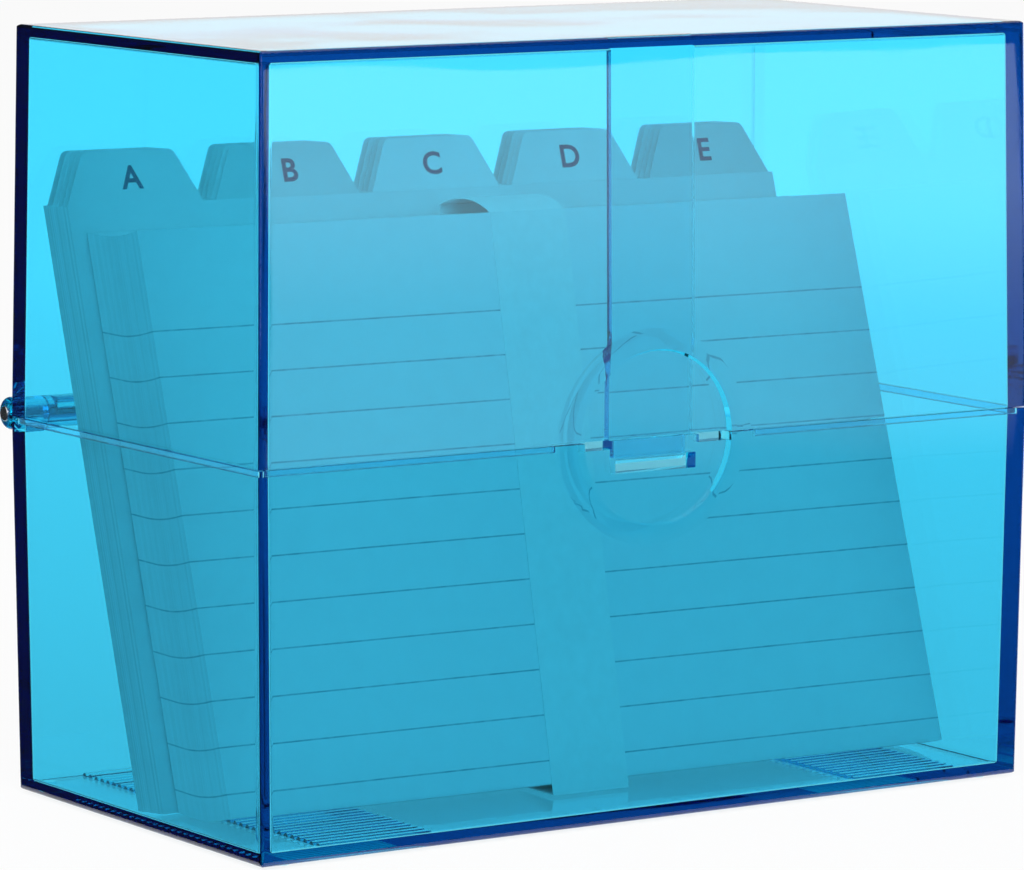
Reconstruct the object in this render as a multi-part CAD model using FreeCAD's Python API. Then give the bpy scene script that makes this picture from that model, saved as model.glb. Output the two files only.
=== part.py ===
import FreeCAD, Part
import math
import os

# Index card box with a hinged lid. X runs along the front, Y to the rear, Z up.
# Shapes are drawn with the box bottom at z = 0 and its front at y = 0, then moved so that
# the origin lies under the middle of the whole object.

# Box shell
box_width = 115.8
box_depth = 61.0
tray_height = 48.2
lid_height = 49.8
wall = 2.1
floor_thickness = 1.4
top_thickness = 1.5
corner_radius = 0.5
edge_radius = 0.7
inner_radius = 0.4
tray_draft_inset = 0.55
lid_draft_inset = 0.7
embed = 0.3

# Seam between tray and lid
parting_gap = 0.15
lap_height = 0.9
lap_clearance = 0.12
lap_inset = wall / 2
lap_radius = inner_radius

# Feet and ribbed floor tracks
foot_radius = 0.85
foot_height = 0.35
foot_inset_x = 5.0
foot_inset_y = 3.0
rib_pitch = 1.5
rib_base = 1.1
rib_crest = 0.4
rib_height = 0.45
rib_edge_gap = 2.6
rib_track_inset = 9.7
rib_track_width = 16.0

# Thumb recess, round and centred on the seam
recess_radius = 11.1
recess_depth = 0.7
recess_draft = 25.0
bulge_step = 0.5
bulge_blend = 4.5
rim_drop = 1.1

# Latch: strap and tongue on the lid, window and catch bar in the tray
strap_width = 12.5
strap_thickness = 1.0
latch_gap = 0.2
tongue_width = 10.8
barb_reach = 1.0
barb_height = 0.9
barb_tip = 0.3
barb_play = 0.14
window_side_gap = 0.65
window_height = 1.95
catch_bar_end = 0.5
catch_bar_height = 2.2

# Hinge
knuckle_radius = 2.1
knuckle_wall_gap = 0.3
knuckle_count = 7
end_knuckle_length = 6.0
knuckle_end_round = 0.9
knuckle_gap = 0.2
hinge_edge_gap = 0.55
hinge_web_gap = 0.1
rod_radius = 0.95
rod_clearance = 0.05
rod_overhang = 0.3
rod_end_round = 0.2

# Stack of cards and dividers
lean = 18.5
stack_skew = 1.7
stack_shift = 0.5
rest_clearance = 0.03
tab_wall_gap = 0.7
side_room = 2.75

# Ruled cards
card_count = 50
card_height = 74.0
card_thickness = 0.22
sheet_gap = 0.015
raised_cards = 34
raised_height = 1.3
raised_shift = 0.7

# Paper band
band_width = 11.3
band_thickness = 0.14
band_clearance = 0.04
band_top_offset = 3.25
band_bottom_offset = -1.8
band_arch = 1.2

# Dividers
divider_thickness = 0.12
divider_height = 77.4
divider_shift_front = -2.0
divider_shift_rear = -3.6
tab_columns = 5
tab_height = 7.0
tab_base = 19.4
tab_top = 13.0
tab_radius = 1.2

# Derived sizes
seam = tray_height
total_height = tray_height + lid_height
tray_rim = seam - parting_gap / 2
lid_rim = seam + parting_gap / 2
bulge_face = wall + recess_depth
bulge_inner_radius = recess_radius - bulge_step
window_width = tongue_width + 2 * window_side_gap
window_top = tray_rim - catch_bar_height
catch_bar_width = window_width + 2 * catch_bar_end
hinge_y = box_depth + knuckle_wall_gap + knuckle_radius
overall_depth = hinge_y + knuckle_radius
lean_sine = math.sin(math.radians(lean))
lean_cosine = math.cos(math.radians(lean))
card_width = box_width - 2 * (wall + tray_draft_inset + side_room)
card_step = (card_thickness + sheet_gap) / lean_cosine
divider_step = (divider_thickness + sheet_gap) / lean_cosine
pack_depth = card_count * card_step
stack_base = floor_thickness + rib_height + rest_clearance
divider_front = pack_depth + (2 * band_clearance + band_thickness) / lean_cosine


def vec(x, y, z):
    return FreeCAD.Vector(x, y, z)


def block(x_low, x_high, y_low, y_high, z_low, z_high):
    corner = vec(x_low, y_low, z_low)
    return Part.makeBox(x_high - x_low, y_high - y_low, z_high - z_low, corner)


def prism(points, direction):
    """Solid swept from a flat polygon."""
    outline = Part.makePolygon(points + points[:1])
    return Part.Face(outline).extrude(direction)


def cylinder_x(radius, x_low, x_high):
    """Cylinder along the hinge axis."""
    return Part.makeCylinder(radius, x_high - x_low, vec(x_low, hinge_y, seam), vec(1, 0, 0))


def frustum(inset_low, z_low, inset_high, z_high):
    """Box outline drawn in by one inset at its low end and another at its high end."""
    half_low = box_width / 2 - inset_low
    half_high = box_width / 2 - inset_high
    solid = Part.makeWedge(
        -half_low, z_low, inset_low - box_depth, inset_high - box_depth, -half_high,
        half_low, z_high, -inset_low, -inset_high, half_high)
    solid.rotate(vec(0, 0, 0), vec(1, 0, 0), 90)
    return solid


def rounded(solid, radius, z_closed):
    """Rounds the upright edges and, at z_closed, the edges of the closed end."""
    edges = []
    for edge in solid.Edges:
        rise = abs(edge.Vertexes[0].Z - edge.Vertexes[-1].Z)
        at_end = abs(edge.CenterOfMass.z - z_closed) < radius / 10
        if rise > radius / 10 or at_end:
            edges.append(edge)
    return solid.makeFillet(radius, edges)


def rounded_upright(solid, radius):
    """Rounds the upright edges only."""
    edges = [edge for edge in solid.Edges
             if abs(edge.Vertexes[0].Z - edge.Vertexes[-1].Z) > radius / 10]
    return solid.makeFillet(radius, edges)


def rounded_outside(solid, z_closed):
    """Outside of one half: tight upright corners and softer edges round its closed end."""
    edges = [edge for edge in solid.Edges
             if abs(edge.CenterOfMass.z - z_closed) < edge_radius / 10]
    return rounded_upright(solid, corner_radius).common(solid.makeFillet(edge_radius, edges))


def recess_pocket():
    """Round outside pocket whose rim slopes in by the recess draft."""
    start = vec(0, -recess_depth, seam)
    spread = recess_depth * math.tan(math.radians(recess_draft))
    wide = recess_radius + spread
    narrow = recess_radius - spread
    return Part.makeCone(wide, narrow, 2 * recess_depth, start, vec(0, 1, 0))


def bulge(base):
    """Round swelling of the inner wall face, rising from y = base in an S curve."""
    outer = bulge_inner_radius + bulge_blend
    inner = bulge_inner_radius
    radius = (recess_depth ** 2 + bulge_blend ** 2) / (4 * recess_depth)
    half_angle = math.asin(bulge_blend / 2 / radius) / 2
    run = radius * math.sin(half_angle)
    rise = radius * (1 - math.cos(half_angle))
    crest = base + recess_depth
    middle = vec((outer + inner) / 2, base + recess_depth / 2, seam)
    lower = Part.Arc(vec(outer, base, seam), vec(outer - run, base + rise, seam), middle)
    upper = Part.Arc(middle, vec(inner + run, crest - rise, seam), vec(inner, crest, seam))
    edges = [
        Part.makeLine(vec(0, base - embed, seam), vec(outer, base - embed, seam)),
        Part.makeLine(vec(outer, base - embed, seam), vec(outer, base, seam)),
        lower.toShape(),
        upper.toShape(),
        Part.makeLine(vec(inner, crest, seam), vec(0, crest, seam)),
        Part.makeLine(vec(0, crest, seam), vec(0, base - embed, seam)),
    ]
    profile = Part.Face(Part.Wire(edges))
    return profile.revolve(vec(0, 0, seam), vec(0, 1, 0), 360)


def half_space(z_low, z_high):
    """Everything in front of and inside the box between two levels."""
    return block(-box_width, box_width, -box_depth, 2 * box_depth, z_low, z_high)


def middle_slab(half_width, z_low, z_high):
    """Middle part of the front wall, from in front of it to well inside."""
    return block(-half_width, half_width, -recess_depth, 4 * bulge_face, z_low, z_high)


def knuckle_spans():
    """X range of every knuckle, left to right."""
    half = box_width / 2 - hinge_edge_gap
    gaps = (knuckle_count - 1) * knuckle_gap
    inner = (2 * half - 2 * end_knuckle_length - gaps) / (knuckle_count - 2)
    spans = []
    start = -half
    for index in range(knuckle_count):
        at_end = index in (0, knuckle_count - 1)
        length = end_knuckle_length if at_end else inner
        spans.append((start, start + length))
        start += length + knuckle_gap
    return spans


def knuckle(span, web_low, web_high):
    """One hinge knuckle with the web that joins it to the rear wall."""
    barrel = cylinder_x(knuckle_radius, span[0], span[1])
    outer_edges = [edge for edge in barrel.Edges
                   if abs(edge.CenterOfMass.x) > box_width / 2 - 2 * hinge_edge_gap]
    if outer_edges:
        barrel = barrel.makeFillet(knuckle_end_round, outer_edges)
    web_start = span[0] + knuckle_end_round
    web_end = span[1] - knuckle_end_round
    web = block(web_start, web_end, box_depth - embed, hinge_y, web_low, web_high)
    bore = cylinder_x(rod_radius + rod_clearance, -box_width, box_width)
    return barrel.fuse(web).cut(bore)


def rib_track(x_low):
    """Strip of low ridges across the floor."""
    count = int((box_depth - 2 * rib_edge_gap) / rib_pitch)
    slope = (rib_base - rib_crest) / 2
    start = (box_depth - count * rib_pitch) / 2
    crest = floor_thickness + rib_height
    points = [vec(x_low, start, floor_thickness - embed)]
    for index in range(count):
        y = start + index * rib_pitch
        points.append(vec(x_low, y, floor_thickness))
        points.append(vec(x_low, y + slope, crest))
        points.append(vec(x_low, y + slope + rib_crest, crest))
        points.append(vec(x_low, y + rib_base, floor_thickness))
    points.append(vec(x_low, start + count * rib_pitch, floor_thickness))
    points.append(vec(x_low, start + count * rib_pitch, floor_thickness - embed))
    return prism(points, vec(rib_track_width, 0, 0))


def make_tray():
    outer = rounded_outside(frustum(tray_draft_inset, 0, 0, tray_rim), 0)
    cavity = frustum(tray_draft_inset + wall, floor_thickness, wall, tray_rim)
    tray = outer.cut(rounded(cavity, inner_radius, floor_thickness))

    ledge = frustum(lap_inset, seam - lap_height, lap_inset, seam + lap_height)
    ledge = rounded_upright(ledge, lap_radius)
    bulge_reach = bulge_inner_radius + bulge_blend
    ledge = ledge.cut(middle_slab(bulge_reach, 0, total_height))
    tray = tray.cut(ledge)

    tray = tray.fuse(bulge(wall).common(half_space(0, tray_rim)))
    tray = tray.cut(recess_pocket())

    slot_end = math.sqrt(recess_radius ** 2 - rim_drop ** 2)
    slots = middle_slab(slot_end, seam - rim_drop, total_height)
    slots = slots.cut(middle_slab(catch_bar_width / 2, 0, total_height))
    window = middle_slab(window_width / 2, window_top - window_height, window_top)
    tray = tray.cut(slots).cut(window)

    half = box_width / 2
    for x in (foot_inset_x - half, half - foot_inset_x):
        for y in (foot_inset_y, box_depth - foot_inset_y):
            foot = Part.makeCylinder(foot_radius, foot_height + embed, vec(x, y, -foot_height))
            tray = tray.fuse(foot)

    for x_low in (rib_track_inset - half, half - rib_track_inset - rib_track_width):
        tray = tray.fuse(rib_track(x_low))

    for span in knuckle_spans()[0::2]:
        tray = tray.fuse(knuckle(span, seam - knuckle_radius, seam - hinge_web_gap))
    return tray.removeSplitter()


def make_strap():
    """Latch strap down the lid's front wall, with the snap tongue below it."""
    half = strap_width / 2
    top = total_height - top_thickness / 2
    points = [
        vec(-half, wall - embed, lid_rim),
        vec(-half, wall + strap_thickness, lid_rim),
        vec(-half, wall + strap_thickness + lid_draft_inset, top),
        vec(-half, wall - embed + lid_draft_inset, top),
    ]
    strap = prism(points, vec(strap_width, 0, 0))
    over_bulge = bulge(wall + strap_thickness).common(middle_slab(half, lid_rim, total_height))
    strap = strap.fuse(over_bulge)

    front = bulge_face + latch_gap
    rear = bulge_face + strap_thickness
    barb_top = window_top - barb_play
    tip = barb_top - barb_height
    tongue = block(-tongue_width / 2, tongue_width / 2, front, rear, tip, lid_rim + embed)
    barb_points = [
        vec(-tongue_width / 2, front + embed, barb_top),
        vec(-tongue_width / 2, front - barb_reach, barb_top),
        vec(-tongue_width / 2, front - barb_reach, barb_top - barb_tip),
        vec(-tongue_width / 2, front, tip),
        vec(-tongue_width / 2, front + embed, tip),
    ]
    barb = prism(barb_points, vec(tongue_width, 0, 0))
    return strap.fuse(tongue).fuse(barb)


def make_lid():
    outer = frustum(0, lid_rim, lid_draft_inset, total_height)
    outer = rounded_outside(outer, total_height)
    ceiling = total_height - top_thickness
    cavity = frustum(wall, lid_rim, lid_draft_inset + wall, ceiling)
    lid = outer.cut(rounded(cavity, inner_radius, ceiling))

    lip_inset = lap_inset + lap_clearance
    lip_low = seam - lap_height + lap_clearance
    lip = rounded_upright(frustum(lip_inset, lip_low, lip_inset, lid_rim + embed), lap_radius)
    hollow = frustum(wall, lip_low - embed, wall, lid_rim + 2 * embed)
    lip = lip.cut(rounded_upright(hollow, inner_radius))
    bulge_reach = bulge_inner_radius + bulge_blend + lap_clearance
    lip = lip.cut(middle_slab(bulge_reach, 0, total_height))
    lid = lid.fuse(lip)

    lid = lid.fuse(bulge(wall).common(half_space(lid_rim, total_height)))
    lid = lid.cut(recess_pocket())
    lid = lid.fuse(make_strap())

    for span in knuckle_spans()[1::2]:
        lid = lid.fuse(knuckle(span, seam + hinge_web_gap, seam + knuckle_radius))
    return lid.removeSplitter()


def make_rod():
    half = box_width / 2 - hinge_edge_gap + rod_overhang
    rod = cylinder_x(rod_radius, -half, half)
    rims = [edge for edge in rod.Edges if abs(edge.CenterOfMass.x) > half / 2]
    return rod.makeFillet(rod_end_round, rims)


def leaned(x, height, y):
    """Point of the stack, given along a sheet's width and up its leaning face."""
    return vec(x, y + height * lean_sine, height * lean_cosine)


def sheet(outline, thickness, y):
    """Leaning sheet with its foot at y."""
    points = [leaned(x, height, y) for x, height in outline]
    return prism(points, vec(0, thickness / lean_cosine, 0))


def divider_names():
    letters = [chr(ord("a") + index) for index in range(ord("x") - ord("a"))]
    return letters + ["xy", "z"]


def stack_front():
    """Place of the stack's front foot that leaves the rearmost tab its gap to the lid.

    The stack stands askew, so the first tab of the last row reaches furthest back.
    """
    place = len(divider_names()) - tab_columns
    foot = divider_front + place * divider_step + divider_thickness / lean_cosine
    peak = divider_height + tab_height
    peak_level = stack_base + peak * lean_cosine
    sway = (card_width / 2 - divider_shift_rear) * math.sin(math.radians(stack_skew))
    draft = lid_draft_inset * (peak_level - seam) / lid_height
    return box_depth - wall - draft - tab_wall_gap - sway - peak * lean_sine - foot


def in_stack(shape):
    """Moves a shape from the stack's own frame into the box."""
    shape.rotate(vec(0, 0, 0), vec(0, 0, 1), -stack_skew)
    shape.translate(vec(stack_shift, stack_front(), stack_base))
    return shape


def make_cards():
    """Pack of cards; the front ones ride up a little and sideways."""
    half = card_width / 2
    cards = []
    for index in range(card_count):
        share = max(0, 1 - index / raised_cards) ** 2
        shift = raised_shift * share
        lift = raised_height * share
        outline = [
            (shift - half, lift),
            (shift + half, lift),
            (shift + half, lift + card_height),
            (shift - half, lift + card_height),
        ]
        cards.append(sheet(outline, card_thickness, index * card_step))
    return Part.makeCompound(cards)


def band_loop(offset):
    """Closed side view of the band, offset outwards from the pack."""
    across = offset / lean_cosine
    top = card_height + raised_height
    low = -offset / lean_cosine
    front_low = leaned(0, low, -across)
    front_high = leaned(0, top, -across)
    rear_high = leaned(0, top, pack_depth + across)
    rear_low = leaned(0, low, pack_depth + across)
    crown = (front_high + rear_high) / 2 + vec(0, 0, band_arch + offset)
    edges = [
        Part.makeLine(front_low, front_high),
        Part.Arc(front_high, crown, rear_high).toShape(),
        Part.makeLine(rear_high, rear_low),
        Part.makeLine(rear_low, front_low),
    ]
    return Part.Face(Part.Wire(edges))


def make_band():
    """Closed paper loop round the pack, set slightly aslant."""
    reach = card_width / 2
    ring = band_loop(band_clearance + band_thickness).cut(band_loop(band_clearance))
    ring.translate(vec(-reach, 0, 0))
    tube = ring.extrude(vec(card_width, 0, 0))

    top = 2 * card_height
    slant = (band_top_offset - band_bottom_offset) / (card_height * lean_cosine)
    low_x = band_bottom_offset - slant * top
    high_x = band_bottom_offset + slant * top
    half = band_width / 2
    points = [
        vec(low_x - half, -card_height, -top),
        vec(low_x + half, -card_height, -top),
        vec(high_x + half, -card_height, top),
        vec(high_x - half, -card_height, top),
    ]
    return tube.common(prism(points, vec(0, 4 * card_height, 0)))


def corner_arc(before, corner, after, radius):
    """Arc that rounds the corner between two straight runs of an outline."""
    backward = (before - corner).normalize()
    forward = (after - corner).normalize()
    half_angle = backward.getAngle(forward) / 2
    reach = radius / math.tan(half_angle)
    depth = radius / math.sin(half_angle) - radius
    middle = corner + (backward + forward).normalize() * depth
    return Part.Arc(corner + backward * reach, middle, corner + forward * reach).toShape()


def tab_profile(left, y):
    """Outline of one tab, with its foot sunk into the sheet below it."""
    slope = (tab_base - tab_top) / 2
    right = left + tab_base
    foot = divider_height - tab_height
    peak = divider_height + tab_height
    low_left = leaned(left, foot, y)
    low_right = leaned(right, foot, y)
    mid_right = leaned(right, divider_height, y)
    top_right = leaned(right - slope, peak, y)
    top_left = leaned(left + slope, peak, y)
    mid_left = leaned(left, divider_height, y)
    right_arc = corner_arc(mid_right, top_right, top_left, tab_radius)
    left_arc = corner_arc(top_right, top_left, mid_left, tab_radius)
    edges = [
        Part.makeLine(low_left, low_right),
        Part.makeLine(low_right, mid_right),
        Part.makeLine(mid_right, right_arc.Vertexes[0].Point),
        right_arc,
        Part.makeLine(right_arc.Vertexes[-1].Point, left_arc.Vertexes[0].Point),
        left_arc,
        Part.makeLine(left_arc.Vertexes[-1].Point, mid_left),
        Part.makeLine(mid_left, low_left),
    ]
    return Part.Face(Part.Wire(edges))


def make_divider(index, count):
    """Index sheet with one tab; the tabs step from left to right in rows."""
    share = index / (count - 1)
    shift = divider_shift_front + share * (divider_shift_rear - divider_shift_front)
    left = shift - card_width / 2
    right = shift + card_width / 2
    y = divider_front + index * divider_step
    corners = [(left, 0), (right, 0), (right, divider_height), (left, divider_height)]
    body = sheet(corners, divider_thickness, y)
    tab_pitch = (card_width - tab_base) / (tab_columns - 1)
    tab_left = left + (index % tab_columns) * tab_pitch
    tab = tab_profile(tab_left, y).extrude(vec(0, divider_thickness / lean_cosine, 0))
    return body.fuse(tab).removeSplitter()


def export(name, shape):
    shape.translate(vec(0, -overall_depth / 2, foot_height))
    shape.exportStep("parts/" + name + ".step")


os.makedirs("parts", exist_ok=True)
export("tray", make_tray())
export("lid", make_lid())
export("hinge_rod", make_rod())
export("ruled_cards", in_stack(make_cards()))
export("paper_band", in_stack(make_band()))
names = divider_names()
for number, letter in enumerate(names):
    export("divider_" + letter, in_stack(make_divider(number, len(names))))
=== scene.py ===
import math

import bpy
from mathutils import Matrix, Vector


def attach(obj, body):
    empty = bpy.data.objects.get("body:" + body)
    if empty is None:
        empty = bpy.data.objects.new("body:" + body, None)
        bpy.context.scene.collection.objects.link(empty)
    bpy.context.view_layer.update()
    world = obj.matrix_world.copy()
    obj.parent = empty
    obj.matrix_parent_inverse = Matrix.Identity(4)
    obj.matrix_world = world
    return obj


MM = 0.001

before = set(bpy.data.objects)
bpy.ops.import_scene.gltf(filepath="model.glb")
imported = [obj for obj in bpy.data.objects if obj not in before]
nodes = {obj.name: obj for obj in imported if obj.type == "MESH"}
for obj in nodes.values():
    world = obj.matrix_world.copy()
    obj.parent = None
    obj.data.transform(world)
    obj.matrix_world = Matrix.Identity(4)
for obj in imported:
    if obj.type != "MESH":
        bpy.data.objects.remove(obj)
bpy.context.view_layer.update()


def rgb(red, green, blue):
    return (red, green, blue, 1.0)


BLACK = rgb(0, 0, 0)
WHITE = rgb(1, 1, 1)

# Stack of cards and dividers, as in the CAD
LEAN = math.radians(18.5)
SKEW = math.radians(1.7)
STACK_ORIGIN = Vector((0.5, -19.06469, 2.23)) * MM
CARD_STEP = 0.235 * MM / math.cos(LEAN)
DIVIDER_FRONT = 12.62227 * MM
DIVIDER_STEP = 0.135 * MM / math.cos(LEAN)
DIVIDER_WIDTH = 105.0 * MM
DIVIDER_HEIGHT = 77.4 * MM
DIVIDERS = [chr(ord("a") + place) for place in range(23)] + ["xy", "z"]
TAB_BASE = 19.4 * MM
TAB_COLUMNS = 5
SHIFT_FRONT = -2.0 * MM
SHIFT_REAR = -3.6 * MM

# The front cards stand higher, the first one by CARD_LIFT, and the rules go with them
CARD_RAISED = 34
CARD_LIFT = 1.3 * MM

# A point this near to a sheet's front face is shaded as that sheet
FACE_MARGIN = 0.004 * MM

# Clear blue plastic: one wall lets SHELL_TINT through, and what a metre of it absorbs as well
# is SHELL_DENSITY times (1 - colour)
SHELL_TINT = rgb(0.50, 0.868, 1.0)
SHELL_COLOUR = rgb(0.0, 0.866, 0.938)
SHELL_DENSITY = 345.0
SHELL_IOR = 1.57

# Other colours
CARD_WHITE = rgb(0.92, 0.94, 0.97)
RULE_BLUE = rgb(0.10, 0.16, 0.30)
DIVIDER_WHITE = rgb(0.92, 0.93, 0.95)
BAND_WHITE = rgb(0.95, 0.95, 0.96)
STEEL_GREY = rgb(0.72, 0.73, 0.75)
INK_DARK = rgb(0.008, 0.018, 0.11)
INK_LIGHT = rgb(0.016, 0.032, 0.16)
TABLE_WHITE = rgb(0.95, 0.95, 0.955)
GLOW_COOL = rgb(0.85, 1.0, 1.08)

# Ruling; each line fades out between RULE_CORE and RULE_FADE from its middle
RULE_FIRST = 8.8 * MM
RULE_PITCH = 5.82 * MM
RULE_TOP = 64.0 * MM
RULE_CORE = 0.06 * MM
RULE_FADE = 0.13 * MM

# Printed letters
LETTER_HEIGHT = 3.1 * MM
LETTER_RISE = 3.5 * MM
LETTER_INK = 0.01 * MM
LETTER_BOLD = 0.022
LETTER_STEPS = 4

# Strength of the world as a light; where it is looked at it is plain white
WORLD_LIGHT = 0.4

# Table top: share of plain white where it is looked at, less of it under the box, and more
# glow behind the box where it is seen through the plastic
FLOOR_HALF = 6.0
FLOOR_WHITE = 0.92
FOOT_SHARE = 0.7
FOOT_MIDDLE = -2.25 * MM
FOOT_HALF = (57.9 * MM, 30.5 * MM)
FOOT_EDGE = 8.0 * MM
REAR_GLOW = 0.45
REAR_SPAN = (0.03, 0.6)

# Softbox that the front face mirrors to the camera: azimuth and distance, reach to both sides,
# height of both top corners, and the heights over which its strength grows
FRONT_AZIMUTH = -33.5
SOFTBOX_DISTANCE = 0.32
SOFTBOX_ACROSS = (-0.0782, 0.0502)
SOFTBOX_TOPS = (0.0801, 0.0843)
SOFTBOX_STEPS = ((0.002, 0.014, 0.8), (0.036, 0.060, 1.0))

# Dark panels, which keep reflections off the clear faces: strength, then the standing ones
# (name, azimuth, distance, reach to both sides, height) and the ones on the table (name, corners)
DARK_GLOW = 0.03
FLAGS = (
    ("flag_front", FRONT_AZIMUTH, 0.33, (-0.45, 0.45), 0.6),
    ("flag_left", 72.0, 0.35, (-0.17, 0.19), 0.6),
    ("flag_rear", 146.5, 0.22, (-0.25, 0.25), 0.5),
)
SHADES = (
    ("shade_front", (-0.6, -0.7), (0.5, -0.0332)),
    ("shade_left", (-0.6, -0.2), (-0.0582, 0.5)),
)
PANEL_FOOT = 0.5 * MM

# Lamp
LAMP_PLACE = Vector((-0.6, -0.75, 0.95))
LAMP_TARGET = Vector((0, 0, 0.05))
LAMP_SIZE = (1.2, 0.9)
LAMP_POWER = 14.0

# Camera, fitted to the photo
CAMERA_PLACE = Vector((-0.42225, -0.63815, 0.14595))
CAMERA_YAW = math.radians(33.48)
CAMERA_PITCH = math.radians(7.50)
CAMERA_ROLL = math.radians(0.19)
CAMERA_LENS = 211.11
CAMERA_SENSOR = 36.0


class Graph:
    """Short way to build the nodes of a material, or of the world when one is given."""

    def __init__(self, name, world=None):
        self.material = world or bpy.data.materials.new(name)
        self.material.use_nodes = True
        self.tree = self.material.node_tree
        self.tree.nodes.clear()
        self.out = self.node("ShaderNodeOutputWorld" if world else "ShaderNodeOutputMaterial")

    def node(self, kind, **settings):
        made = self.tree.nodes.new(kind)
        for key, value in settings.items():
            setattr(made, key, value)
        return made

    def put(self, socket, value):
        if isinstance(value, bpy.types.NodeSocket):
            self.tree.links.new(value, socket)
        else:
            socket.default_value = value

    def math(self, operation, a, b=None):
        made = self.node("ShaderNodeMath", operation=operation)
        self.put(made.inputs[0], a)
        if b is not None:
            self.put(made.inputs[1], b)
        return made.outputs[0]

    def place(self):
        return self.node("ShaderNodeTexCoord").outputs["Object"]

    def split(self, vector):
        made = self.node("ShaderNodeSeparateXYZ")
        self.put(made.inputs[0], vector)
        return made.outputs

    def noise(self, scale, detail=2.0, roughness=0.5):
        made = self.node("ShaderNodeTexNoise")
        self.put(made.inputs["Vector"], self.place())
        self.put(made.inputs["Scale"], scale)
        self.put(made.inputs["Detail"], detail)
        self.put(made.inputs["Roughness"], roughness)
        return made.outputs["Fac"]

    def grain(self, low, high, scale, detail=2.0, roughness=0.5):
        """Noise spread over low to high."""
        return self.span(self.noise(scale, detail, roughness), 0.3, 0.7, low, high)

    def span(self, value, low, high, to_low, to_high):
        made = self.node("ShaderNodeMapRange")
        for key, item in zip(("Value", "From Min", "From Max", "To Min", "To Max"),
                             (value, low, high, to_low, to_high)):
            self.put(made.inputs[key], item)
        return made.outputs["Result"]

    def mix(self, factor, a, b):
        made = self.node("ShaderNodeMix", data_type="RGBA")
        self.put(made.inputs["Factor"], factor)
        self.put(made.inputs["A"], a)
        self.put(made.inputs["B"], b)
        return made.outputs["Result"]

    def bump(self, height, strength, distance):
        made = self.node("ShaderNodeBump")
        self.put(made.inputs["Height"], height)
        self.put(made.inputs["Strength"], strength)
        self.put(made.inputs["Distance"], distance)
        return made.outputs["Normal"]

    def glow(self, colour, strength):
        made = self.node("ShaderNodeEmission")
        self.put(made.inputs["Color"], colour)
        self.put(made.inputs["Strength"], strength)
        return made.outputs[0]

    def surface(self, **values):
        shader = self.node("ShaderNodeBsdfPrincipled")
        for key, value in values.items():
            self.put(shader.inputs[key.replace("_", " ")], value)
        self.put(self.out.inputs["Surface"], shader.outputs[0])


def shell_material():
    """Clear blue polystyrene: refracting, coloured at its faces and by its thickness."""
    g = Graph("blue_polystyrene")
    haze = g.span(g.noise(180.0, 3.0, 0.6), 0.35, 0.75, 0.012, 0.035)
    waves = g.noise(26.0, 1.5, 0.4)
    g.surface(Base_Color=SHELL_TINT, Roughness=haze, IOR=SHELL_IOR, Transmission_Weight=1.0,
              Normal=g.bump(waves, 0.25, 0.6 * MM))
    absorb = g.node("ShaderNodeVolumeAbsorption")
    g.put(absorb.inputs["Color"], SHELL_COLOUR)
    g.put(absorb.inputs["Density"], SHELL_DENSITY)
    g.put(g.out.inputs["Volume"], absorb.outputs[0])
    return g.material


def stack_axes(g):
    """(foot, up) of the shaded point in the leaning stack's own frame."""
    moved = g.node("ShaderNodeVectorMath", operation="SUBTRACT")
    g.put(moved.inputs[0], g.place())
    g.put(moved.inputs[1], STACK_ORIGIN)
    x, y, z = g.split(moved.outputs[0])
    back = g.math("ADD", g.math("MULTIPLY", x, math.sin(SKEW)),
                  g.math("MULTIPLY", y, math.cos(SKEW)))
    foot = g.math("SUBTRACT", back, g.math("MULTIPLY", z, math.tan(LEAN)))
    return foot, g.math("DIVIDE", z, math.cos(LEAN))


def sheet_index(g, foot, front, step):
    """Number of the sheet at the shaded point, counted from the first one's front face."""
    past = g.math("SUBTRACT", foot, front - FACE_MARGIN)
    return g.math("FLOOR", g.math("DIVIDE", past, step))


def tone_by_sheet(g, index, low, high):
    """Small brightness step from sheet to sheet."""
    made = g.node("ShaderNodeTexWhiteNoise", noise_dimensions="1D")
    g.put(made.inputs["W"], index)
    return g.span(made.outputs["Value"], 0.0, 1.0, low, high)


def rule_ink(g, index, up):
    """Strength of the printed rules, which follow the lift of the front cards."""
    share = g.math("MAXIMUM", g.math("SUBTRACT", 1.0, g.math("DIVIDE", index, CARD_RAISED)), 0.0)
    lift = g.math("MULTIPLY", g.math("MULTIPLY", share, share), CARD_LIFT)
    height = g.math("SUBTRACT", up, lift)
    shifted = g.math("ADD", height, RULE_PITCH / 2 - RULE_FIRST)
    cell = g.math("FLOORED_MODULO", shifted, RULE_PITCH)
    away = g.math("ABSOLUTE", g.math("SUBTRACT", cell, RULE_PITCH / 2))
    ink = g.span(away, RULE_CORE, RULE_FADE, 1.0, 0.0)
    ink = g.math("MULTIPLY", ink, g.math("LESS_THAN", height, RULE_TOP))
    return g.math("MULTIPLY", ink, g.grain(0.4, 0.7, 900.0))


def card_material():
    """White card stock with faint printed rules that show on every card's edge."""
    g = Graph("ruled_card")
    foot, up = stack_axes(g)
    index = sheet_index(g, foot, 0.0, CARD_STEP)
    tone = tone_by_sheet(g, index, 0.9, 1.0)
    fibre = g.grain(0.97, 1.0, 420.0, 4.0, 0.6)
    paper = g.mix(g.math("MULTIPLY", tone, fibre), BLACK, CARD_WHITE)
    g.surface(Base_Color=g.mix(rule_ink(g, index, up), paper, RULE_BLUE), Roughness=0.75,
              Normal=g.bump(g.noise(1500.0, 3.0), 0.12, 0.05 * MM))
    return g.material


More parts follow.
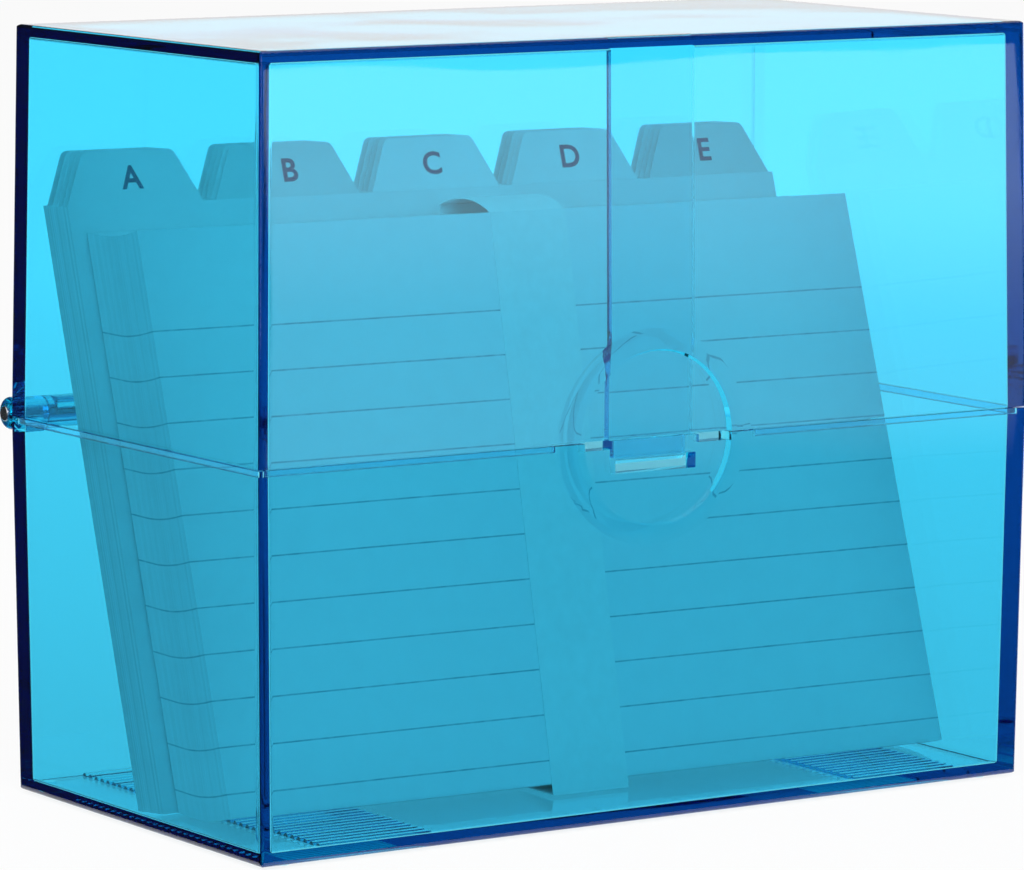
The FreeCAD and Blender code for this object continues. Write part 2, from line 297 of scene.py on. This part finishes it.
def divider_material():
    """Thin white plastic sheet with a satin face."""
    g = Graph("divider_sheet")
    foot, _ = stack_axes(g)
    tone = tone_by_sheet(g, sheet_index(g, foot, DIVIDER_FRONT, DIVIDER_STEP), 0.8, 1.0)
    mottle = g.grain(0.96, 1.0, 160.0, 3.0, 0.55)
    g.surface(Base_Color=g.mix(g.math("MULTIPLY", tone, mottle), BLACK, DIVIDER_WHITE),
              Roughness=0.45, Normal=g.bump(g.noise(700.0), 0.08, 0.05 * MM))
    return g.material


def band_material():
    """White paper with a fine fibre."""
    g = Graph("band_paper")
    g.surface(Base_Color=g.mix(g.grain(0.94, 1.0, 600.0, 5.0, 0.65), BLACK, BAND_WHITE),
              Roughness=0.8, Normal=g.bump(g.noise(1800.0, 3.0), 0.15, 0.05 * MM))
    return g.material


def steel_material():
    """Drawn steel wire, unevenly bright."""
    g = Graph("rod_steel")
    g.surface(Base_Color=STEEL_GREY, Metallic=1.0, Roughness=g.grain(0.18, 0.32, 900.0))
    return g.material


def ink_material():
    """Dark blue printing ink with small specks."""
    g = Graph("letter_ink")
    g.surface(Base_Color=g.mix(g.grain(0.0, 1.0, 2500.0), INK_DARK, INK_LIGHT), Roughness=0.6)
    return g.material


def dress(node, material):
    """Gives a CAD node one material."""
    mesh = nodes[node].data
    mesh.materials.clear()
    mesh.materials.append(material)


def letter_mesh(text):
    """Flat bold letter, centred and LETTER_HEIGHT high."""
    curve = bpy.data.curves.new("letter_" + text, "FONT")
    curve.body = text
    curve.size = 1.0
    curve.offset = LETTER_BOLD
    curve.align_x = "CENTER"
    curve.resolution_u = LETTER_STEPS
    scratch = bpy.data.objects.new("letter_" + text, curve)
    bpy.context.collection.objects.link(scratch)
    bpy.context.view_layer.update()
    mesh = bpy.data.meshes.new_from_object(scratch.evaluated_get(
        bpy.context.evaluated_depsgraph_get()))
    bpy.data.objects.remove(scratch)
    lows = [min(v.co[axis] for v in mesh.vertices) for axis in range(2)]
    highs = [max(v.co[axis] for v in mesh.vertices) for axis in range(2)]
    middle = Vector(((lows[0] + highs[0]) / 2, (lows[1] + highs[1]) / 2, 0))
    grow = LETTER_HEIGHT / (highs[1] - lows[1])
    for vertex in mesh.vertices:
        vertex.co = (vertex.co - middle) * grow
    return mesh


def leaned_frame(along, foot, up):
    """Matrix of a face in the stack: X along the sheets, Y up their slope, Z to the front."""
    turn = Matrix.Rotation(-SKEW, 4, "Z")
    right = turn @ Vector((1, 0, 0))
    rise = turn @ Vector((0, math.sin(LEAN), math.cos(LEAN)))
    front = right.cross(rise)
    matrix = Matrix((right, rise, front)).transposed().to_4x4()
    matrix.translation = STACK_ORIGIN + turn @ Vector(
        (along, foot + up * math.sin(LEAN), up * math.cos(LEAN)))
    return matrix


def add_letters(ink):
    """One letter in the middle of every tab."""
    step = (DIVIDER_WIDTH - TAB_BASE) / (TAB_COLUMNS - 1)
    for index, name in enumerate(DIVIDERS):
        share = index / (len(DIVIDERS) - 1)
        left = SHIFT_FRONT + share * (SHIFT_REAR - SHIFT_FRONT) - DIVIDER_WIDTH / 2
        middle = left + (index % TAB_COLUMNS) * step + TAB_BASE / 2
        letter = bpy.data.objects.new("letter_" + name, letter_mesh(name.upper()))
        bpy.context.collection.objects.link(letter)
        foot = DIVIDER_FRONT + index * DIVIDER_STEP - LETTER_INK
        letter.matrix_world = leaned_frame(middle, foot, DIVIDER_HEIGHT + LETTER_RISE)
        letter.data.materials.append(ink)
        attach(letter, "divider_" + name)


def looked_at(g, path):
    """1 for the rays that show a thing: seen, mirrored or through the clear plastic."""
    seen = g.math("MAXIMUM", path["Is Camera Ray"], path["Is Transmission Ray"])
    return g.math("MAXIMUM", seen, path["Is Glossy Ray"])


def floor_material():
    """White table top that also looks white through and in the clear plastic."""
    g = Graph("studio_floor")
    path = g.node("ShaderNodeLightPath").outputs
    x, y, _ = g.split(g.place())
    beside = g.span(g.math("ABSOLUTE", x), FOOT_HALF[0] - FOOT_EDGE, FOOT_HALF[0],
                    FOOT_SHARE, 1.0)
    before = g.span(g.math("ABSOLUTE", g.math("SUBTRACT", y, FOOT_MIDDLE)),
                    FOOT_HALF[1] - FOOT_EDGE, FOOT_HALF[1], FOOT_SHARE, 1.0)
    seen = g.math("MULTIPLY", looked_at(g, path), g.math("MAXIMUM", beside, before))
    through = g.math("MULTIPLY", path["Is Transmission Ray"],
                     g.math("LESS_THAN", path["Diffuse Depth"], 0.5))
    rear = g.span(y, REAR_SPAN[0], REAR_SPAN[1], 0.0, REAR_GLOW)
    paper = g.node("ShaderNodeBsdfDiffuse")
    g.put(paper.inputs["Color"], TABLE_WHITE)
    blend = g.node("ShaderNodeMixShader")
    g.put(blend.inputs[0], g.math("MULTIPLY", seen, FLOOR_WHITE))
    g.put(blend.inputs[1], paper.outputs[0])
    g.put(blend.inputs[2],
          g.glow(WHITE, g.math("ADD", g.math("MULTIPLY", through, rear), 1.0)))
    g.put(g.out.inputs["Surface"], blend.outputs[0])
    return g.material


def glow_material(name, *steps):
    """Cool white emission; each step (low, high, more) adds strength over a span of heights."""
    g = Graph(name)
    z = g.split(g.node("ShaderNodeNewGeometry").outputs["Position"])[2]
    strength = DARK_GLOW
    for low, high, more in steps:
        strength = g.math("ADD", g.span(z, low, high, 0.0, more), strength)
    g.put(g.out.inputs["Surface"], g.glow(GLOW_COOL, strength))
    return g.material


def studio_world():
    """Even white surround: plain white to look at, softer as a light."""
    world = bpy.data.worlds.new("studio")
    g = Graph("studio", world)
    seen = looked_at(g, g.node("ShaderNodeLightPath").outputs)
    background = g.node("ShaderNodeBackground")
    g.put(background.inputs["Color"], WHITE)
    g.put(background.inputs["Strength"], g.span(seen, 0.0, 1.0, WORLD_LIGHT, 1.0))
    g.put(g.out.inputs["Surface"], background.outputs[0])
    return world


def plane(name, corners, material):
    """Four-cornered stage piece."""
    mesh = bpy.data.meshes.new(name)
    mesh.from_pydata(corners, [], [(0, 1, 2, 3)])
    made = bpy.data.objects.new(name, mesh)
    bpy.context.collection.objects.link(made)
    mesh.materials.append(material)
    return made


def lying(name, low, high, height, material):
    """Level plane between two corners (x, y)."""
    return plane(name, [(low[0], low[1], height), (high[0], low[1], height),
                        (high[0], high[1], height), (low[0], high[1], height)], material)


def standing(name, azimuth, distance, across, tops, material):
    """Upright plane; azimuth in degrees from the front (-Y) to the left (-X)."""
    turn = math.radians(azimuth)
    centre = Vector((-math.sin(turn), -math.cos(turn), 0)) * distance
    side = Vector((math.cos(turn), -math.sin(turn), 0))
    left, right = (centre + side * reach for reach in across)
    return plane(name, [(left.x, left.y, PANEL_FOOT), (right.x, right.y, PANEL_FOOT),
                        (right.x, right.y, tops[1]), (left.x, left.y, tops[0])], material)


def only_reflected(panel):
    """The panel shows in reflections and nowhere else."""
    panel.visible_camera = False
    panel.visible_diffuse = False
    panel.visible_transmission = False
    panel.visible_shadow = False


def build_studio():
    corner = (FLOOR_HALF, FLOOR_HALF)
    lying("floor", (-FLOOR_HALF, -FLOOR_HALF), corner, 0, floor_material())

    glow = glow_material("softbox_glow", *SOFTBOX_STEPS)
    only_reflected(standing("softbox", FRONT_AZIMUTH, SOFTBOX_DISTANCE, SOFTBOX_ACROSS,
                            SOFTBOX_TOPS, glow))
    dark = glow_material("flag_dark")
    for name, azimuth, distance, across, top in FLAGS:
        only_reflected(standing(name, azimuth, distance, across, (top, top), dark))
    for name, low, high in SHADES:
        only_reflected(lying(name, low, high, PANEL_FOOT, dark))

    bpy.context.scene.world = studio_world()

    lamp_data = bpy.data.lights.new("key", "AREA")
    lamp_data.shape = "RECTANGLE"
    lamp_data.size, lamp_data.size_y = LAMP_SIZE
    lamp_data.energy = LAMP_POWER
    lamp = bpy.data.objects.new("key", lamp_data)
    lamp.location = LAMP_PLACE
    lamp.rotation_mode = "QUATERNION"
    lamp.rotation_quaternion = (LAMP_PLACE - LAMP_TARGET).to_track_quat("Z", "Y")
    bpy.context.collection.objects.link(lamp)


def build_camera():
    look = Vector((math.sin(CAMERA_YAW) * math.cos(CAMERA_PITCH),
                   math.cos(CAMERA_YAW) * math.cos(CAMERA_PITCH), -math.sin(CAMERA_PITCH)))
    level = Vector((math.cos(CAMERA_YAW), -math.sin(CAMERA_YAW), 0))
    above = level.cross(look)
    right = level * math.cos(CAMERA_ROLL) + above * math.sin(CAMERA_ROLL)
    up = above * math.cos(CAMERA_ROLL) - level * math.sin(CAMERA_ROLL)
    data = bpy.data.cameras.new("camera")
    data.sensor_fit = "HORIZONTAL"
    data.sensor_width = CAMERA_SENSOR
    data.lens = CAMERA_LENS
    data.clip_start = 0.05
    data.clip_end = 50.0
    camera = bpy.data.objects.new("camera", data)
    bpy.context.collection.objects.link(camera)
    matrix = Matrix((right, up, -look)).transposed().to_4x4()
    matrix.translation = CAMERA_PLACE
    camera.matrix_world = matrix
    bpy.context.scene.camera = camera


def set_render():
    """Light paths long enough for the plastic's edges."""
    scene = bpy.context.scene
    scene.view_settings.view_transform = "Standard"
    scene.cycles.use_denoising = True
    scene.cycles.max_bounces = 60
    scene.cycles.diffuse_bounces = 5
    scene.cycles.glossy_bounces = 48
    scene.cycles.transmission_bounces = 32
    scene.cycles.transparent_max_bounces = 8
    scene.cycles.sample_clamp_indirect = 8.0
    scene.cycles.caustics_refractive = True
    scene.cycles.caustics_reflective = True


shell = shell_material()
for node in ("tray", "lid"):
    dress(node, shell)
dress("hinge_rod", steel_material())
dress("ruled_cards", card_material())
dress("paper_band", band_material())
sheet = divider_material()
for name in DIVIDERS:
    dress("divider_" + name, sheet)
add_letters(ink_material())
build_studio()
build_camera()
set_render()
